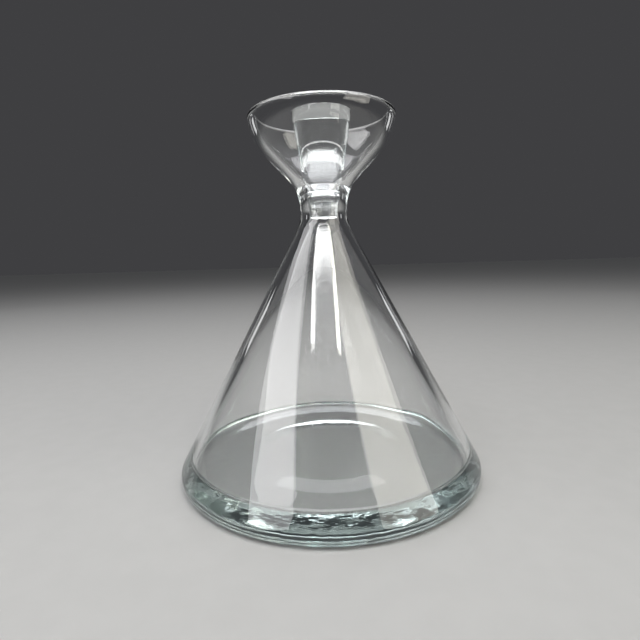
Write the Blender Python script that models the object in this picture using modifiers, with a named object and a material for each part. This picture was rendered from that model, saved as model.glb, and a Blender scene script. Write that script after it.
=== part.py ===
"""Conical glass decanter with a funnel mouth and a solid tapered glass stopper.

The decanter is one turned piece of thick clear glass: a heavy floor, straight conical walls that run
up to a narrow waist, and a funnel-shaped mouth that opens above it. The stopper is a second piece, a
solid truncated cone that stands in the tapered bore of the waist and lifts straight out of it.

Units are metres, +Z is up, and the origin is the centre of the foot, on the surface it stands on.
"""

import math

import bpy
from mathutils import Matrix, Vector

MM = 0.001

# Round the axis, and along each rounded edge
SEGMENTS = 48
ARC_STEP = math.radians(18)
MERGE_DISTANCE = 0.02 * MM

# Decanter, outside
RIM_HEIGHT = 241.2 * MM
RIM_RADIUS = 48.9 * MM
BASE_RADIUS = 103.9 * MM
WAIST_RADIUS = 15.9 * MM
WAIST_TOP = 192.5 * MM
CONE_LEAN = math.radians(-28.4)
FUNNEL_LEAN = math.radians(43.2)
RIM_LEAN = math.radians(7.4)

# Decanter, glass thickness
CONE_WALL = 5.4 * MM
FUNNEL_WALL = 5.4 * MM
FLOOR_THICKNESS = 13.5 * MM

# Decanter, floor: the inside is slightly crowned, and the underside is hollowed inside its foot ring
FLOOR_CROWN = 1.5 * MM
FLOOR_CROWN_RADIUS = 30.0 * MM
FOOT_INNER_RADIUS = 60.0 * MM
HOLLOW_RADIUS = 44.0 * MM
HOLLOW_DEPTH = 1.2 * MM

# Decanter, rounded edges
HEEL_ROUND = 7.0 * MM
FLOOR_ROUND = 3.0 * MM
CROWN_ROUND = 300.0 * MM
HOLLOW_ROUND = 40.0 * MM
BORE_FOOT_ROUND = 20.0 * MM
BORE_MOUTH_ROUND = 0.6 * MM
FUNNEL_ROUND = 38.0 * MM
RIM_ROUND = 2.3 * MM
WAIST_TOP_ROUND = 25.0 * MM
WAIST_FOOT_ROUND = 25.0 * MM

# Stopper, and the gap all round it in the bore
STOPPER_BOTTOM = 174.4 * MM
STOPPER_TOP = 243.2 * MM
STOPPER_BOTTOM_RADIUS = 8.95 * MM
STOPPER_TOP_RADIUS = 19.75 * MM
STOPPER_BOTTOM_ROUND = 0.8 * MM
STOPPER_TOP_ROUND = 0.5 * MM
SEAT_GAP = 0.3 * MM

DECANTER_TINT = (0.90, 0.97, 0.95, 1.0)
STOPPER_TINT = (0.94, 0.97, 0.97, 1.0)
GLASS_IOR = 1.5


def clear_scene():
    """Remove every object, so that the model starts from nothing."""
    for item in list(bpy.data.objects):
        bpy.data.objects.remove(item, do_unlink=True)


def meet(line_a, line_b):
    """Where two lines cross, each given as (radius, height, lean from the vertical)."""
    radius_a, height_a, lean_a = line_a
    radius_b, height_b, lean_b = line_b
    gain_a = math.tan(lean_a)
    gain_b = math.tan(lean_b)
    height = (radius_b - radius_a + height_a * gain_a - height_b * gain_b) / (gain_a - gain_b)
    return radius_a + (height - height_a) * gain_a, height


def arc(start, centre, turn):
    """Points along an arc from start about centre, a step at most ARC_STEP apart."""
    steps = max(2, math.ceil(abs(turn) / ARC_STEP))
    spoke = start - centre
    return [centre + Matrix.Rotation(turn * step / steps, 2) @ spoke for step in range(steps + 1)]


def rounded(corners):
    """Outline through (radius, height, rounding) corners, with each corner turned by an arc."""
    places = [Vector(corner[:2]) for corner in corners]
    outline = []
    for index, (place, corner) in enumerate(zip(places, corners)):
        rounding = corner[2]
        if rounding == 0:
            outline.append(place)
            continue
        back = (places[index - 1] - place).normalized()
        ahead = (places[index + 1] - place).normalized()
        half = back.angle(ahead) / 2
        centre = place + (back + ahead).normalized() * rounding / math.sin(half)
        start = place + back * rounding / math.tan(half)
        turn = math.copysign(math.pi - 2 * half, -back.cross(ahead))
        outline.extend(arc(start, centre, turn))
    return outline


def cone_foot_radius():
    """Radius at which the straight side of the cone would reach the ground without its heel."""
    half_turn = (math.pi / 2 - CONE_LEAN) / 2
    return BASE_RADIUS + HEEL_ROUND * (math.tan(half_turn) - 1)


def stopper_lean():
    """Lean of the stopper's side, which the bore follows."""
    return math.atan2(STOPPER_TOP_RADIUS - STOPPER_BOTTOM_RADIUS, STOPPER_TOP - STOPPER_BOTTOM)


def inner_corners():
    """Inside of the decanter, from the middle of its floor up to its rim."""
    cone = (cone_foot_radius() - CONE_WALL / math.cos(CONE_LEAN), 0, CONE_LEAN)
    bore = (STOPPER_BOTTOM_RADIUS + SEAT_GAP / math.cos(stopper_lean()), STOPPER_BOTTOM, stopper_lean())
    funnel = (WAIST_RADIUS - FUNNEL_WALL / math.cos(FUNNEL_LEAN), WAIST_TOP, FUNNEL_LEAN)
    mouth = (RIM_RADIUS - FUNNEL_WALL / math.cos(RIM_LEAN), RIM_HEIGHT, RIM_LEAN)
    floor_radius = cone[0] + FLOOR_THICKNESS * math.tan(CONE_LEAN)
    return [
        (0, FLOOR_THICKNESS + FLOOR_CROWN, 0),
        (FLOOR_CROWN_RADIUS, FLOOR_THICKNESS + FLOOR_CROWN, CROWN_ROUND),
        (floor_radius, FLOOR_THICKNESS, FLOOR_ROUND),
        (*meet(cone, bore), BORE_FOOT_ROUND),
        (*meet(bore, funnel), BORE_MOUTH_ROUND),
        (*meet(funnel, mouth), FUNNEL_ROUND - FUNNEL_WALL),
        (mouth[0], RIM_HEIGHT, RIM_ROUND),
    ]


def outer_corners():
    """Outside of the decanter, from its rim down to the middle of its underside."""
    cone = (cone_foot_radius(), 0, CONE_LEAN)
    waist = (WAIST_RADIUS, WAIST_TOP, 0)
    funnel = (WAIST_RADIUS, WAIST_TOP, FUNNEL_LEAN)
    mouth = (RIM_RADIUS, RIM_HEIGHT, RIM_LEAN)
    return [
        (RIM_RADIUS, RIM_HEIGHT, RIM_ROUND),
        (*meet(mouth, funnel), FUNNEL_ROUND),
        (WAIST_RADIUS, WAIST_TOP, WAIST_TOP_ROUND),
        (*meet(waist, cone), WAIST_FOOT_ROUND),
        (cone[0], 0, HEEL_ROUND),
        (FOOT_INNER_RADIUS, 0, HOLLOW_ROUND),
        (HOLLOW_RADIUS, HOLLOW_DEPTH, HOLLOW_ROUND),
        (0, HOLLOW_DEPTH, 0),
    ]


def stopper_corners():
    """Side of the stopper from the middle of its top down, with heights from its bottom face."""
    height = STOPPER_TOP - STOPPER_BOTTOM
    return [
        (0, height, 0),
        (STOPPER_TOP_RADIUS, height, STOPPER_TOP_ROUND),
        (STOPPER_BOTTOM_RADIUS, 0, STOPPER_BOTTOM_ROUND),
        (0, 0, 0),
    ]


def glass(name, tint, roughness):
    """Clear glass with a faint tint."""
    material = bpy.data.materials.new(name)
    material.use_nodes = True
    shader = material.node_tree.nodes["Principled BSDF"]
    shader.inputs["Base Color"].default_value = tint
    shader.inputs["Metallic"].default_value = 0.0
    shader.inputs["Roughness"].default_value = roughness
    shader.inputs["IOR"].default_value = GLASS_IOR
    shader.inputs["Transmission Weight"].default_value = 1.0
    return material


def turned(name, corners, material, collection, parent, height=0.0):
    """A solid of revolution about Z, made by a Screw modifier on its rounded outline."""
    outline = rounded(corners)
    points = [(radius, 0, level) for radius, level in outline]
    edges = [(index, index + 1) for index in range(len(points) - 1)]
    mesh = bpy.data.meshes.new(name)
    mesh.from_pydata(points, edges, [])
    mesh.materials.append(material)
    piece = bpy.data.objects.new(name, mesh)
    piece.location = (0, 0, height)
    piece.parent = parent
    collection.objects.link(piece)
    screw = piece.modifiers.new("Turn", "SCREW")
    screw.axis = "Z"
    screw.angle = math.tau
    screw.steps = SEGMENTS
    screw.render_steps = SEGMENTS
    screw.use_merge_vertices = True
    screw.merge_threshold = MERGE_DISTANCE
    screw.use_smooth_shade = True
    return piece


def build():
    """Make the decanter and its stopper in a collection of their own."""
    clear_scene()
    collection = bpy.data.collections.new("conical_decanter")
    bpy.context.scene.collection.children.link(collection)
    frame = bpy.data.objects.new("decanter_frame", None)
    collection.objects.link(frame)
    body_glass = glass("body_glass", DECANTER_TINT, 0.02)
    stopper_glass = glass("stopper_glass", STOPPER_TINT, 0.05)
    turned("decanter_body", inner_corners() + outer_corners(), body_glass, collection, frame)
    turned("stopper", stopper_corners(), stopper_glass, collection, frame, STOPPER_BOTTOM)


build()
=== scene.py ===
"""Looks of a conical glass decanter with a funnel mouth and a solid glass stopper."""

import math

import bpy
from mathutils import Matrix, Vector, noise


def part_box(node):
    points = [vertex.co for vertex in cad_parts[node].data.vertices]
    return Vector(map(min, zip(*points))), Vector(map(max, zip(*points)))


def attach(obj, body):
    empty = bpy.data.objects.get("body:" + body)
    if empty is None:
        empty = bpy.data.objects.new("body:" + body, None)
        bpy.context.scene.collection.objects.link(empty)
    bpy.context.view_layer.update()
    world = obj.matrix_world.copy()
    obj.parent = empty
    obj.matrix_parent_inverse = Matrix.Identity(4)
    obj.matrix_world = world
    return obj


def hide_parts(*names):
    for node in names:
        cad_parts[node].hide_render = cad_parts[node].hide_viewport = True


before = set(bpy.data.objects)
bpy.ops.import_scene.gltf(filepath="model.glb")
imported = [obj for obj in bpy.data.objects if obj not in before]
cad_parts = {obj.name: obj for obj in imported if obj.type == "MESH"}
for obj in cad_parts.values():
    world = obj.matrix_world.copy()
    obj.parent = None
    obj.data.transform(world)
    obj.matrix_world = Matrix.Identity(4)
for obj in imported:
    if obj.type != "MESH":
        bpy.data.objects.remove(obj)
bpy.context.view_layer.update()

MM = 0.001
BODY_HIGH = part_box("decanter_body")[1]
STOPPER_LOW, STOPPER_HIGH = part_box("stopper")

# ---------------------------------------------------------------- shape of the glass

# Mesh steps: round the axis, along a rounded edge, along a straight run, and along the rippled ring
SEGMENTS = 384
ARC_STEP = math.radians(7)
FEWEST_ARC_STEPS = 4
RUN_STEP = 8.0 * MM
RIPPLE_STEP = 1.1 * MM

# Decanter: its height and its base come from the frame, the rest are the design's own
RIM_HEIGHT = BODY_HIGH.z
RIM_RADIUS = 48.9 * MM
BASE_RADIUS = BODY_HIGH.x
WAIST_RADIUS = 15.9 * MM
WAIST_TOP = 192.5 * MM
CONE_LEAN = math.radians(-28.4)
FUNNEL_LEAN = math.radians(43.2)
RIM_LEAN = math.radians(7.4)
CONE_WALL = 5.4 * MM
FUNNEL_WALL = 5.4 * MM
FLOOR_THICKNESS = 13.5 * MM
FLOOR_CROWN = 1.5 * MM
FLOOR_CROWN_RADIUS = 30.0 * MM
FOOT_INNER_RADIUS = 60.0 * MM
HOLLOW_RADIUS = 44.0 * MM
HOLLOW_DEPTH = 1.2 * MM

# Decanter, rounded edges
HEEL_ROUND = 7.0 * MM
FLOOR_ROUND = 3.0 * MM
CROWN_ROUND = 300.0 * MM
HOLLOW_ROUND = 40.0 * MM
BORE_FOOT_ROUND = 20.0 * MM
BORE_MOUTH_ROUND = 0.6 * MM
FUNNEL_ROUND = 38.0 * MM
RIM_ROUND = 2.3 * MM
WAIST_TOP_ROUND = 25.0 * MM
WAIST_FOOT_ROUND = 25.0 * MM

# Stopper, the gap all round it in the bore, and the top of the bore that it rubs on
STOPPER_BOTTOM = STOPPER_LOW.z
STOPPER_TOP = STOPPER_HIGH.z
STOPPER_BOTTOM_RADIUS = 8.95 * MM
STOPPER_TOP_RADIUS = 19.75 * MM
STOPPER_BOTTOM_ROUND = 0.8 * MM
STOPPER_TOP_ROUND = 0.5 * MM
SEAT_GAP = 0.12 * MM
SEAT_TOP = 197.5 * MM

# Unevenness of hand-worked glass: how far the surface wanders, and over what distance round the axis.
# Height counts for less, so the waves are drawn out upwards.
OUTER_WAVE = 0.07 * MM
INNER_WAVE = 0.22 * MM
WAVE_LENGTH = 30.0 * MM
WAVE_HEIGHT_SHARE = 0.35
WAVE_ORIGIN = Vector((3, 7, 1))

# The floor keeps only a share of the waves, and they die out below the bore
FLOOR_CALM = 0.25
FLOOR_CALM_TOP = 18.0 * MM
WALL_WAVE_BOTTOM = 45.0 * MM
WAVES_FADE_FROM = 150.0 * MM
WAVES_FADE_TO = 171.0 * MM

# Ripples in a ring of the base, on the floor and on the underside: long around the axis and short across
RIPPLE_INNER_RADIUS = 64.0 * MM
RIPPLE_OUTER_RADIUS = 88.0 * MM
RIPPLE_FADE_IN = 10.0 * MM
RIPPLE_FADE_OUT = 5.0 * MM
RIPPLE_FADE_FROM = 15.0 * MM
RIPPLE_FADE_TO = 20.0 * MM
RIPPLE_DEPTH = 0.07 * MM
RIPPLE_LENGTH = 5.0 * MM
RIPPLE_ACROSS = 2.2 * MM
RIPPLE_START_INSIDE = 5
RIPPLE_START_OUTSIDE = 40
FINE_RIPPLE_FADE_OUT = 4.0 * MM
FINE_RIPPLE_DEPTH = 0.02 * MM
FINE_RIPPLE_LENGTH = 3.0 * MM
FINE_RIPPLE_ACROSS = 1.2 * MM


def meet(line_a, line_b):
    """Where two lines cross, each given as (radius, height, lean from the vertical)."""
    radius_a, height_a, lean_a = line_a
    radius_b, height_b, lean_b = line_b
    gain_a = math.tan(lean_a)
    gain_b = math.tan(lean_b)
    height = (radius_b - radius_a + height_a * gain_a - height_b * gain_b) / (gain_a - gain_b)
    return radius_a + (height - height_a) * gain_a, height


def rounded(corners):
    """Outline through (radius, height, rounding) corners, with an arc at each and short straight steps."""
    places = [Vector(corner[:2]) for corner in corners]
    outline = [places[0]]
    for index in range(1, len(corners)):
        place = places[index]
        rounding = corners[index][2]
        points = [place]
        if rounding > 0:
            back = (places[index - 1] - place).normalized()
            ahead = (places[index + 1] - place).normalized()
            half = back.angle(ahead) / 2
            centre = place + (back + ahead).normalized() * rounding / math.sin(half)
            spoke = place + back * rounding / math.tan(half) - centre
            turn = math.copysign(math.pi - 2 * half, -back.cross(ahead))
            steps = max(FEWEST_ARC_STEPS, math.ceil(abs(turn) / ARC_STEP))
            turns = [Matrix.Rotation(turn * step / steps, 2) for step in range(steps + 1)]
            points = [centre + rotation @ spoke for rotation in turns]
        outline.extend(stepped(outline[-1], points[0]))
        outline.extend(points)
    return outline


def stepped(start, end):
    """Points between the ends of a straight run, close together where the base is rippled."""
    run = end - start
    lies_flat = abs(run.x) > abs(run.y)
    done = 0.0
    between = []
    while done < run.length - RIPPLE_STEP / 2:
        place = start + run * done / run.length
        if done > 0:
            between.append(place)
        rippled = lies_flat and RIPPLE_INNER_RADIUS < place.x < RIPPLE_OUTER_RADIUS
        done += RIPPLE_STEP if rippled else RUN_STEP
    return between


def cone_foot_radius():
    """Radius at which the straight side of the cone would reach the ground without its heel."""
    half_turn = (math.pi / 2 - CONE_LEAN) / 2
    return BASE_RADIUS + HEEL_ROUND * (math.tan(half_turn) - 1)


def stopper_lean():
    """Lean of the stopper's side, which the bore follows."""
    return math.atan2(STOPPER_TOP_RADIUS - STOPPER_BOTTOM_RADIUS, STOPPER_TOP - STOPPER_BOTTOM)


def decanter_corners():
    """From the middle of the decanter's floor, up its inside, over the rim and down to its underside."""
    inner_cone = (cone_foot_radius() - CONE_WALL / math.cos(CONE_LEAN), 0, CONE_LEAN)
    bore = (STOPPER_BOTTOM_RADIUS + SEAT_GAP / math.cos(stopper_lean()), STOPPER_BOTTOM, stopper_lean())
    inner_funnel = (WAIST_RADIUS - FUNNEL_WALL / math.cos(FUNNEL_LEAN), WAIST_TOP, FUNNEL_LEAN)
    inner_mouth = (RIM_RADIUS - FUNNEL_WALL / math.cos(RIM_LEAN), RIM_HEIGHT, RIM_LEAN)
    outer_mouth = (RIM_RADIUS, RIM_HEIGHT, RIM_LEAN)
    outer_funnel = (WAIST_RADIUS, WAIST_TOP, FUNNEL_LEAN)
    waist = (WAIST_RADIUS, WAIST_TOP, 0)
    outer_cone = (cone_foot_radius(), 0, CONE_LEAN)
    return [
        (0, FLOOR_THICKNESS + FLOOR_CROWN, 0),
        (FLOOR_CROWN_RADIUS, FLOOR_THICKNESS + FLOOR_CROWN, CROWN_ROUND),
        (inner_cone[0] + FLOOR_THICKNESS * math.tan(CONE_LEAN), FLOOR_THICKNESS, FLOOR_ROUND),
        (*meet(inner_cone, bore), BORE_FOOT_ROUND),
        (*meet(bore, inner_funnel), BORE_MOUTH_ROUND),
        (*meet(inner_funnel, inner_mouth), FUNNEL_ROUND - FUNNEL_WALL),
        (inner_mouth[0], RIM_HEIGHT, RIM_ROUND),
        (RIM_RADIUS, RIM_HEIGHT, RIM_ROUND),
        (*meet(outer_mouth, outer_funnel), FUNNEL_ROUND),
        (WAIST_RADIUS, WAIST_TOP, WAIST_TOP_ROUND),
        (*meet(waist, outer_cone), WAIST_FOOT_ROUND),
        (outer_cone[0], 0, HEEL_ROUND),
        (FOOT_INNER_RADIUS, 0, HOLLOW_ROUND),
        (HOLLOW_RADIUS, HOLLOW_DEPTH, HOLLOW_ROUND),
        (0, HOLLOW_DEPTH, 0),
    ]


def stopper_corners():
    """From the middle of the stopper's top face, down its side to the middle of its bottom face."""
    return [
        (0, STOPPER_TOP, 0),
        (STOPPER_TOP_RADIUS, STOPPER_TOP, STOPPER_TOP_ROUND),
        (STOPPER_BOTTOM_RADIUS, STOPPER_BOTTOM, STOPPER_BOTTOM_ROUND),
        (0, STOPPER_BOTTOM, 0),
    ]


def fade(value, low, high):
    """Smooth step from 0 at low to 1 at high."""
    share = min(max((value - low) / (high - low), 0), 1)
    return share * share * (3 - 2 * share)


def decanter_unevenness(point, inside):
    """How far the surface lies off its true outline at a point: either way inside, only inwards outside."""
    flat = Vector((point.x, point.y))
    drawn_out = Vector((point.x, point.y, point.z * WAVE_HEIGHT_SHARE))
    wave = noise.noise(drawn_out / WAVE_LENGTH + WAVE_ORIGIN)
    around = flat.normalized() * RIPPLE_OUTER_RADIUS / RIPPLE_LENGTH
    start = RIPPLE_START_INSIDE if inside else RIPPLE_START_OUTSIDE
    ripple = noise.noise(Vector((around.x, around.y, flat.length / RIPPLE_ACROSS + start)))
    away_from_bore = 1 - fade(point.z, WAVES_FADE_FROM, WAVES_FADE_TO)
    in_ring = fade(flat.length, RIPPLE_INNER_RADIUS, RIPPLE_INNER_RADIUS + RIPPLE_FADE_IN)
    in_ring *= 1 - fade(flat.length, RIPPLE_OUTER_RADIUS - RIPPLE_FADE_OUT, RIPPLE_OUTER_RADIUS)
    in_ring *= 1 - fade(point.z, RIPPLE_FADE_FROM, RIPPLE_FADE_TO)
    if inside:
        floor_calm = FLOOR_CALM + (1 - FLOOR_CALM) * fade(point.z, FLOOR_CALM_TOP, WALL_WAVE_BOTTOM)
        return INNER_WAVE * away_from_bore * floor_calm * wave + RIPPLE_DEPTH * in_ring * ripple
    return OUTER_WAVE * away_from_bore * (wave - 1) + RIPPLE_DEPTH * in_ring * (ripple - 1)


def turned(name, corners, uneven=None):
    """A smooth solid of revolution about Z, moved along its normals by the unevenness function."""
    outline = rounded(corners)
    top_of_inside = max(range(len(outline)), key=lambda index: outline[index].y)
    rings = outline[1:-1]
    points = [Vector((0, 0, outline[0].y))]
    for index, (radius, height) in enumerate(rings, start=1):
        along = outline[index + 1] - outline[index - 1]
        outward = Vector((-along.y, along.x)).normalized()
        for segment in range(SEGMENTS):
            angle = math.tau * segment / SEGMENTS
            place = Vector((radius * math.cos(angle), radius * math.sin(angle), height))
            if uneven:
                push = uneven(place, index < top_of_inside)
                radial = radius + outward.x * push
                level = height + outward.y * push
                place = Vector((radial * math.cos(angle), radial * math.sin(angle), level))
            points.append(place)
    points.append(Vector((0, 0, outline[-1].y)))
    last = len(points) - 1
    faces = []
    for ring in range(len(rings) + 1):
        below = 1 + (ring - 1) * SEGMENTS
        above = 1 + ring * SEGMENTS
        for segment in range(SEGMENTS):
            following = (segment + 1) % SEGMENTS
            if ring == 0:
                faces.append((0, above + segment, above + following))
            elif ring == len(rings):
                faces.append((below + following, below + segment, last))
            else:
                faces.append((below + segment, above + segment, above + following, below + following))
    mesh = bpy.data.meshes.new(name)
    mesh.from_pydata(points, [], faces)
    mesh.shade_smooth()
    piece = bpy.data.objects.new(name, mesh)
    bpy.context.scene.collection.objects.link(piece)
    return piece


# ---------------------------------------------------------------- glass

GLASS_IOR = 1.51
DECANTER_ABSORBS = (0.60, 0.87, 0.84)
DECANTER_DENSITY = 3.0
STOPPER_ABSORBS = (0.64, 0.86, 0.85)
STOPPER_DENSITY = 2.5

# Marks on the glass: how rough each one is, and the scale, detail and range of the speckle that breaks it up
SMUDGE_ROUGHNESS = 0.012
SMUDGE_SCALE = 38.0
SMUDGE_DETAIL = 6.0
SMUDGE_RANGE = (0.5, 0.75)
SCUFF_ROUGHNESS = 0.15
SCUFF_SCALE = 900.0
SCUFF_DETAIL = 3.0
SCUFF_RANGE = (0.45, 0.6)
SCUFF_HEIGHT = 0.15 * MM
RUBBED_ROUGHNESS = 0.03
RUBBED_SCALE = 3200.0
RUBBED_DETAIL = 2.0
RUBBED_RANGE = (0.3, 0.7)
RUBBED_EDGE = 1.0 * MM
RUBBED_FADE = 0.3 * MM
RUBBED_REACH = 0.6 * MM


class Nodes:
    """Shorthand for building a node tree: each call makes a node, sets its inputs and links them."""

    def __init__(self, tree):
        self.tree = tree

    def add(self, kind, inputs=None, **settings):
        node = self.tree.nodes.new(kind)
        for key, value in settings.items():
            setattr(node, key, value)
        for key, value in (inputs or {}).items():
            if isinstance(value, bpy.types.NodeSocket):
                self.tree.links.new(value, node.inputs[key])
            else:
                node.inputs[key].default_value = value
        return node

    def math(self, operation, a, b):
        return self.add("ShaderNodeMath", {0: a, 1: b}, operation=operation).outputs[0]

    def between(self, value, low, high, start, end):
        inputs = {"Value": value, "From Min": low, "From Max": high, "To Min": start, "To Max": end}
        return self.add("ShaderNodeMapRange", inputs, interpolation_type="SMOOTHSTEP").outputs["Result"]

    def speckle(self, place, scale, detail):
        inputs = {"Vector": place, "Scale": scale, "Detail": detail}
        return self.add("ShaderNodeTexNoise", inputs).outputs["Fac"]


def glass(name, absorbs, density, rubbed_radius):
    """Clear glass, tinted by its depth, with faint smudges, a scuffed foot and a lightly rubbed seat."""
    material = bpy.data.materials.new(name)
    material.use_nodes = True
    tree = material.node_tree
    nodes = Nodes(tree)
    shader = tree.nodes["Principled BSDF"]
    place = nodes.add("ShaderNodeTexCoord").outputs["Object"]
    split = nodes.add("ShaderNodeSeparateXYZ", {"Vector": place})
    height = split.outputs["Z"]
    flat = nodes.add("ShaderNodeCombineXYZ", {"X": split.outputs["X"], "Y": split.outputs["Y"]}).outputs[0]
    radius = nodes.add("ShaderNodeVectorMath", {0: flat}, operation="LENGTH").outputs["Value"]
    smears = nodes.speckle(place, SMUDGE_SCALE, SMUDGE_DETAIL)
    smudged = nodes.between(smears, *SMUDGE_RANGE, 0.0, SMUDGE_ROUGHNESS)
    scuffed = scuffs(nodes, place, height)
    rubbed = rubbing(nodes, place, height, radius, rubbed_radius)
    rough = nodes.math("ADD", nodes.math("ADD", smudged, scuffed), rubbed)
    tree.links.new(rough, shader.inputs["Roughness"])
    tree.links.new(fine_ripple(nodes, flat, radius, height), shader.inputs["Normal"])
    shader.inputs["Base Color"].default_value = (1.0, 1.0, 1.0, 1.0)
    shader.inputs["IOR"].default_value = GLASS_IOR
    shader.inputs["Transmission Weight"].default_value = 1.0
    depth = nodes.add("ShaderNodeVolumeAbsorption", {"Color": (*absorbs, 1.0), "Density": density})
    tree.links.new(depth.outputs["Volume"], tree.nodes["Material Output"].inputs["Volume"])
    return material


def scuffs(nodes, place, height):
    """Roughness of the foot, worn where it stands."""
    foot = nodes.between(height, 0.0, SCUFF_HEIGHT, SCUFF_ROUGHNESS, 0.0)
    specks = nodes.between(nodes.speckle(place, SCUFF_SCALE, SCUFF_DETAIL), *SCUFF_RANGE, 0.0, 1.0)
    return nodes.math("MULTIPLY", foot, specks)


def rubbing(nodes, place, height, radius, rubbed_radius):
    """Roughness of the seat, rubbed where the stopper and the bore touch, up to a radius."""
    above = nodes.between(height, STOPPER_BOTTOM, STOPPER_BOTTOM + RUBBED_EDGE, 0.0, 1.0)
    below = nodes.between(height, SEAT_TOP - RUBBED_EDGE, SEAT_TOP + RUBBED_EDGE, 1.0, 0.0)
    near = nodes.between(radius, rubbed_radius, rubbed_radius + RUBBED_FADE, 1.0, 0.0)
    seat = nodes.math("MULTIPLY", nodes.math("MULTIPLY", above, below), near)
    specks = nodes.speckle(place, RUBBED_SCALE, RUBBED_DETAIL)
    return nodes.math("MULTIPLY", seat, nodes.between(specks, *RUBBED_RANGE, 0.0, RUBBED_ROUGHNESS))


def fine_ripple(nodes, flat, radius, height):
    """The finest ripples in the ring of the base, as a bump on the shading normal."""
    around = nodes.add("ShaderNodeVectorMath", {0: flat}, operation="NORMALIZE").outputs["Vector"]
    spread = RIPPLE_OUTER_RADIUS / FINE_RIPPLE_LENGTH
    turns = nodes.add("ShaderNodeVectorMath", {0: around, 3: spread}, operation="SCALE")
    parts = nodes.add("ShaderNodeSeparateXYZ", {"Vector": turns.outputs["Vector"]})
    across = nodes.math("DIVIDE", nodes.math("ADD", radius, height), FINE_RIPPLE_ACROSS)
    unrolled = {"X": parts.outputs["X"], "Y": parts.outputs["Y"], "Z": across}
    place = nodes.add("ShaderNodeCombineXYZ", unrolled).outputs[0]
    begins = nodes.between(radius, RIPPLE_INNER_RADIUS, RIPPLE_INNER_RADIUS + RIPPLE_FADE_IN, 0.0, 1.0)
    ends = nodes.between(radius, RIPPLE_OUTER_RADIUS - FINE_RIPPLE_FADE_OUT, RIPPLE_OUTER_RADIUS, 1.0, 0.0)
    low = nodes.between(height, RIPPLE_FADE_FROM, RIPPLE_FADE_TO, 1.0, 0.0)
    in_ring = nodes.math("MULTIPLY", nodes.math("MULTIPLY", begins, ends), low)
    ripple = nodes.math("MULTIPLY", nodes.speckle(place, 1.0, 1.0), in_ring)
    bump = nodes.add("ShaderNodeBump", {"Strength": 1.0, "Distance": FINE_RIPPLE_DEPTH, "Height": ripple})
    return bump.outputs["Normal"]


def make_decanter():
    """The decanter: bowl, waist and cone in one piece of glass."""
    piece = turned("decanter_glass", decanter_corners(), decanter_unevenness)
    seat_radius = STOPPER_BOTTOM_RADIUS + (SEAT_TOP - STOPPER_BOTTOM) * math.tan(stopper_lean())
    material = glass("decanter_glass", DECANTER_ABSORBS, DECANTER_DENSITY, seat_radius + RUBBED_REACH)
    piece.data.materials.append(material)
    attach(piece, "decanter")
    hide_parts("decanter_body")


def make_stopper():
    """The solid stopper that stands in the bore."""
    piece = turned("stopper_glass", stopper_corners())
    material = glass("stopper_glass", STOPPER_ABSORBS, STOPPER_DENSITY, STOPPER_TOP_RADIUS)
    piece.data.materials.append(material)
    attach(piece, "stopper")
    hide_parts("stopper")


# ---------------------------------------------------------------- studio

FLOOR_SIZE = 14.0
FLOOR_SHADE = (0.17, 0.17, 0.167)
FLOOR_MOTTLE = 0.97
FLOOR_MOTTLE_SCALE = 60.0
FLOOR_MOTTLE_DETAIL = 8.0
FLOOR_MOTTLE_RANGE = (0.3, 0.7)
FLOOR_ROUGHNESS = 0.8

# Surroundings: dark at eye level, and paler overhead, between two upward parts of the direction
BACKDROP = (0.05, 0.05, 0.053)
OVERHEAD = (0.55, 0.56, 0.58)
OVERHEAD_FROM = 0.55
OVERHEAD_TO = 0.95

# Lights: the ceiling's height, and the strips that soften the front edge of its bright panel
CEILING = 1.5
PANEL_FRONT = -0.58
FADE_STEPS = 8
FADE_WIDTH = 0.035
FADE_RADIANCE = 11.0
FADE_SHARE = 0.6
AIM_HEIGHT = 100.0 * MM
WHITE = (1, 1, 1)
WARM_TUBE = (1.0, 0.98, 0.90)
COOL_PANEL = (0.97, 0.96, 1.0)
COOL_BOX = (1.0, 0.99, 1.0)
WARM_BOX = (1.0, 0.97, 0.88)

GLASS_BOUNCES = 24
GLOSSY_BOUNCES = 12
BLUR_GLOSSY = 0.2

CAMERA_DISTANCE = 320.0 * MM
CAMERA_HEIGHT = 149.0 * MM
CAMERA_PITCH = math.radians(-7.78)
CAMERA_YAW = math.radians(-0.83)
CAMERA_ROLL = math.radians(-1.67)
CAMERA_LENS = 26.0
CAMERA_SENSOR = 36.0
CAMERA_CLIP = 10.0 * MM


def make_camera():
    """A near, wide camera a little above the middle of the decanter."""
    camera = bpy.data.objects.new("camera", bpy.data.cameras.new("camera"))
    bpy.context.scene.collection.objects.link(camera)
    camera.data.lens = CAMERA_LENS
    camera.data.sensor_width = CAMERA_SENSOR
    camera.data.clip_start = CAMERA_CLIP
    camera.location = (0, -CAMERA_DISTANCE, CAMERA_HEIGHT)
    ahead = Vector((
        math.sin(CAMERA_YAW) * math.cos(CAMERA_PITCH),
        math.cos(CAMERA_YAW) * math.cos(CAMERA_PITCH),
        math.sin(CAMERA_PITCH),
    ))
    right = ahead.cross(Vector((0, 0, 1))).normalized()
    up = right.cross(ahead)
    tilted_right = math.cos(CAMERA_ROLL) * right + math.sin(CAMERA_ROLL) * up
    tilted_up = math.cos(CAMERA_ROLL) * up - math.sin(CAMERA_ROLL) * right
    axes = Matrix((tilted_right, tilted_up, -ahead)).transposed()
    camera.rotation_euler = axes.to_euler()
    bpy.context.scene.camera = camera


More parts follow.
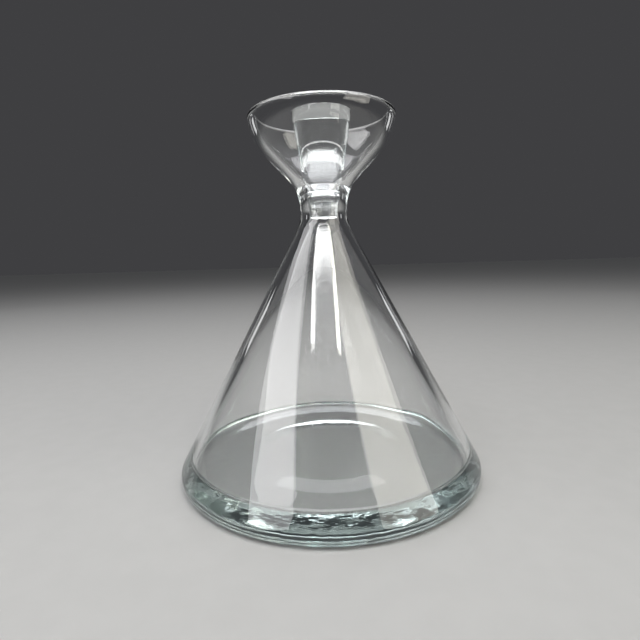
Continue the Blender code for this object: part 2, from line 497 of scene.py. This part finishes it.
def make_floor():
    """A plain pale floor, very faintly mottled."""
    bpy.ops.mesh.primitive_plane_add(size=FLOOR_SIZE)
    floor = bpy.context.object
    floor.name = "floor"
    material = bpy.data.materials.new("floor")
    material.use_nodes = True
    nodes = Nodes(material.node_tree)
    shader = material.node_tree.nodes["Principled BSDF"]
    place = nodes.add("ShaderNodeTexCoord").outputs["Object"]
    mottle = nodes.speckle(place, FLOOR_MOTTLE_SCALE, FLOOR_MOTTLE_DETAIL)
    shade = nodes.between(mottle, *FLOOR_MOTTLE_RANGE, FLOOR_MOTTLE, 1.0)
    blend = {0: 1.0, 6: (*FLOOR_SHADE, 1.0), 7: shade}
    colour = nodes.add("ShaderNodeMix", blend, data_type="RGBA", blend_type="MULTIPLY")
    material.node_tree.links.new(colour.outputs[2], shader.inputs["Base Color"])
    shader.inputs["Roughness"].default_value = FLOOR_ROUGHNESS
    floor.data.materials.append(material)


def area_light(name, place, away, width, height, radiance, colour, roll=0.0):
    """A rectangular light at a place, which shines against the away direction."""
    light = bpy.data.lights.new(name, "AREA")
    light.shape = "RECTANGLE"
    light.size = width
    light.size_y = height
    light.energy = radiance * width * height * math.pi
    light.color = colour
    lamp = bpy.data.objects.new(name, light)
    bpy.context.scene.collection.objects.link(lamp)
    lamp.location = place
    facing = Vector(away).to_track_quat("Z", "Y").to_matrix()
    lamp.rotation_euler = (facing @ Matrix.Rotation(math.radians(roll), 3, "Z")).to_euler()
    lamp.visible_camera = False


def softbox(name, azimuth, elevation, distance, width, height, radiance, colour=WHITE, roll=0.0):
    """A softbox that faces the decanter, at an azimuth from the camera's side, with angles in degrees."""
    turn = math.radians(azimuth)
    rise = math.radians(elevation)
    away = Vector((math.sin(turn) * math.cos(rise), -math.cos(turn) * math.cos(rise), math.sin(rise)))
    place = Vector((0, 0, AIM_HEIGHT)) + away * distance
    area_light(name, place, away, width, height, radiance, colour, roll)


def ceiling_light(name, left, right, front, back, radiance, colour=WHITE):
    """A panel that faces down from the ceiling, with its edges as shares of the ceiling's height."""
    place = Vector(((left + right) / 2, (front + back) / 2, 1)) * CEILING
    width = (right - left) * CEILING
    length = (back - front) * CEILING
    area_light(name, place, (0, 0, 1), width, length, radiance, colour)


def light_ceiling():
    """Two tubes with a bright panel between them that fades out at its front, and a dim panel behind."""
    ceiling_light("left_tube", left=-0.44, right=-0.35, front=-0.89, back=-0.12, radiance=22.0)
    ceiling_light(
        "right_tube", left=0.26, right=0.35, front=-0.94, back=-0.12, radiance=22.0, colour=WARM_TUBE
    )
    ceiling_light("front_panel", left=-0.35, right=0.26, front=PANEL_FRONT, back=-0.14, radiance=15.0)
    for step in range(FADE_STEPS):
        back = PANEL_FRONT - FADE_WIDTH * step
        front = back - FADE_WIDTH
        radiance = FADE_RADIANCE * FADE_SHARE ** step
        ceiling_light(f"front_fade_{step}", left=-0.33, right=0.24, front=front, back=back, radiance=radiance)
    ceiling_light(
        "back_panel", left=-0.38, right=0.38, front=-0.14, back=0.90, radiance=2.2, colour=COOL_PANEL
    )


def light_sides():
    """A strip behind for the base, a small softbox behind each side, and a large one in front of each."""
    softbox("back_box", azimuth=180, elevation=41, distance=1.7, width=1.2, height=0.22, radiance=2.0)
    softbox("left_edge", azimuth=-138, elevation=9, distance=1.7, width=0.20, height=0.30, radiance=0.8)
    softbox("right_edge", azimuth=138, elevation=9, distance=1.7, width=0.20, height=0.30, radiance=0.8)
    softbox(
        "left_box",
        azimuth=-66,
        elevation=35,
        distance=1.6,
        width=2.3,
        height=0.80,
        radiance=4.0,
        colour=COOL_BOX,
        roll=-30,
    )
    softbox(
        "right_box",
        azimuth=54,
        elevation=30,
        distance=1.6,
        width=1.20,
        height=1.60,
        radiance=3.2,
        colour=WARM_BOX,
    )


def make_studio():
    """The lights, the surroundings and the render's light settings."""
    light_ceiling()
    light_sides()
    world = bpy.data.worlds.new("studio")
    world.use_nodes = True
    nodes = Nodes(world.node_tree)
    direction = nodes.add("ShaderNodeTexCoord").outputs["Generated"]
    height = nodes.add("ShaderNodeSeparateXYZ", {"Vector": direction}).outputs["Z"]
    upward = nodes.between(height, OVERHEAD_FROM, OVERHEAD_TO, 0.0, 1.0)
    blend = {0: upward, 6: (*BACKDROP, 1.0), 7: (*OVERHEAD, 1.0)}
    shade = nodes.add("ShaderNodeMix", blend, data_type="RGBA")
    world.node_tree.links.new(shade.outputs[2], world.node_tree.nodes["Background"].inputs["Color"])
    bpy.context.scene.world = world
    bpy.context.scene.view_settings.view_transform = "Standard"
    cycles = bpy.context.scene.cycles
    cycles.max_bounces = GLASS_BOUNCES
    cycles.transmission_bounces = GLASS_BOUNCES
    cycles.glossy_bounces = GLOSSY_BOUNCES
    cycles.blur_glossy = BLUR_GLOSSY


make_camera()
make_floor()
make_studio()
make_decanter()
make_stopper()
